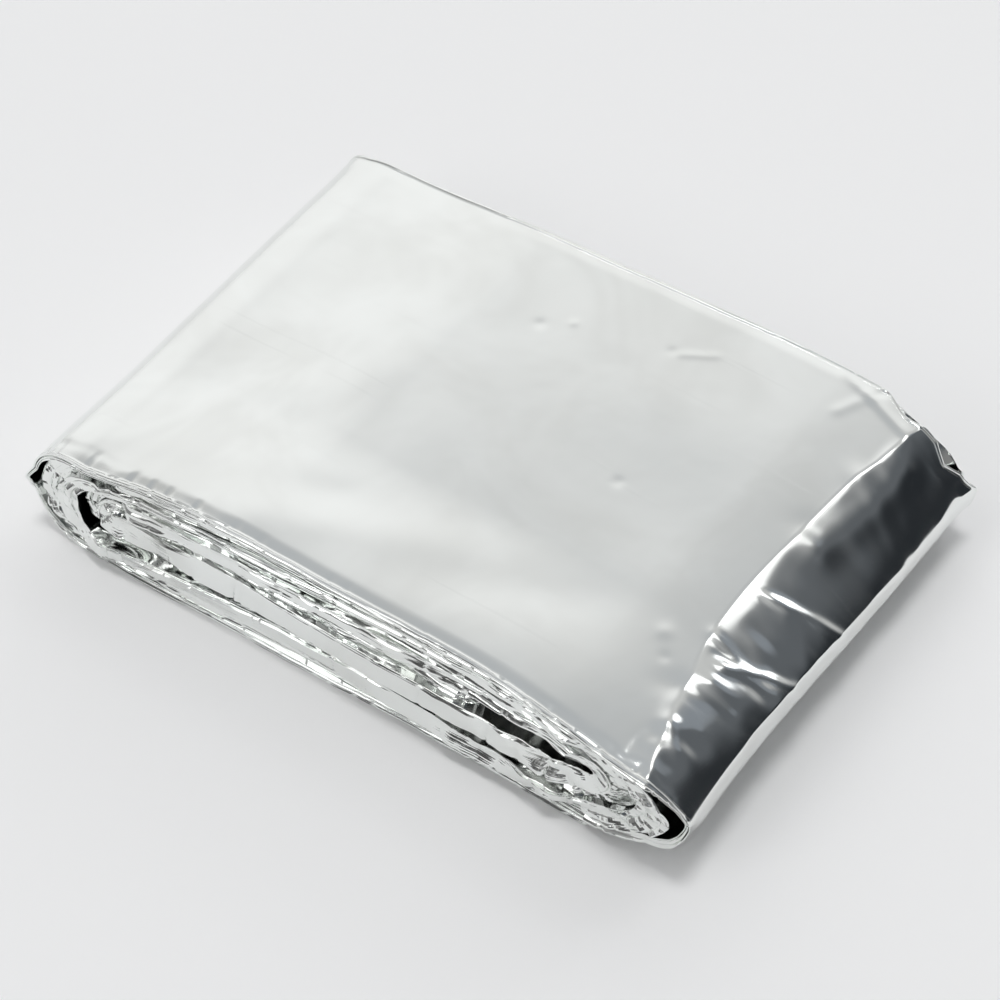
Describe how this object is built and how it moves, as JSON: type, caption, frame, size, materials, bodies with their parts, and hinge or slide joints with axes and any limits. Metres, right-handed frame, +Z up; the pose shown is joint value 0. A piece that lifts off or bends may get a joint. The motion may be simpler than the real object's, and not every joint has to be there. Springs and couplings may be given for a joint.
{
  "type": "folded emergency foil blanket",
  "caption": "Metallised film blanket folded end over end into a flat, rounded packet with nested layered edges.",
  "frame": {"origin": "centre of the packet's footprint, on the surface that it lies on", "axes": "+X along the packet's long side, +Y from its layered front edge to its back edge, +Z up"},
  "size_m": [0.1238, 0.0868, 0.0247],
  "materials": {
    "silver_film": "bright metallised film, mirror-like with fine creases"
  },
  "bodies": {
    "root": {"foil_blanket": "silver_film"}
  },
  "joints": []
}
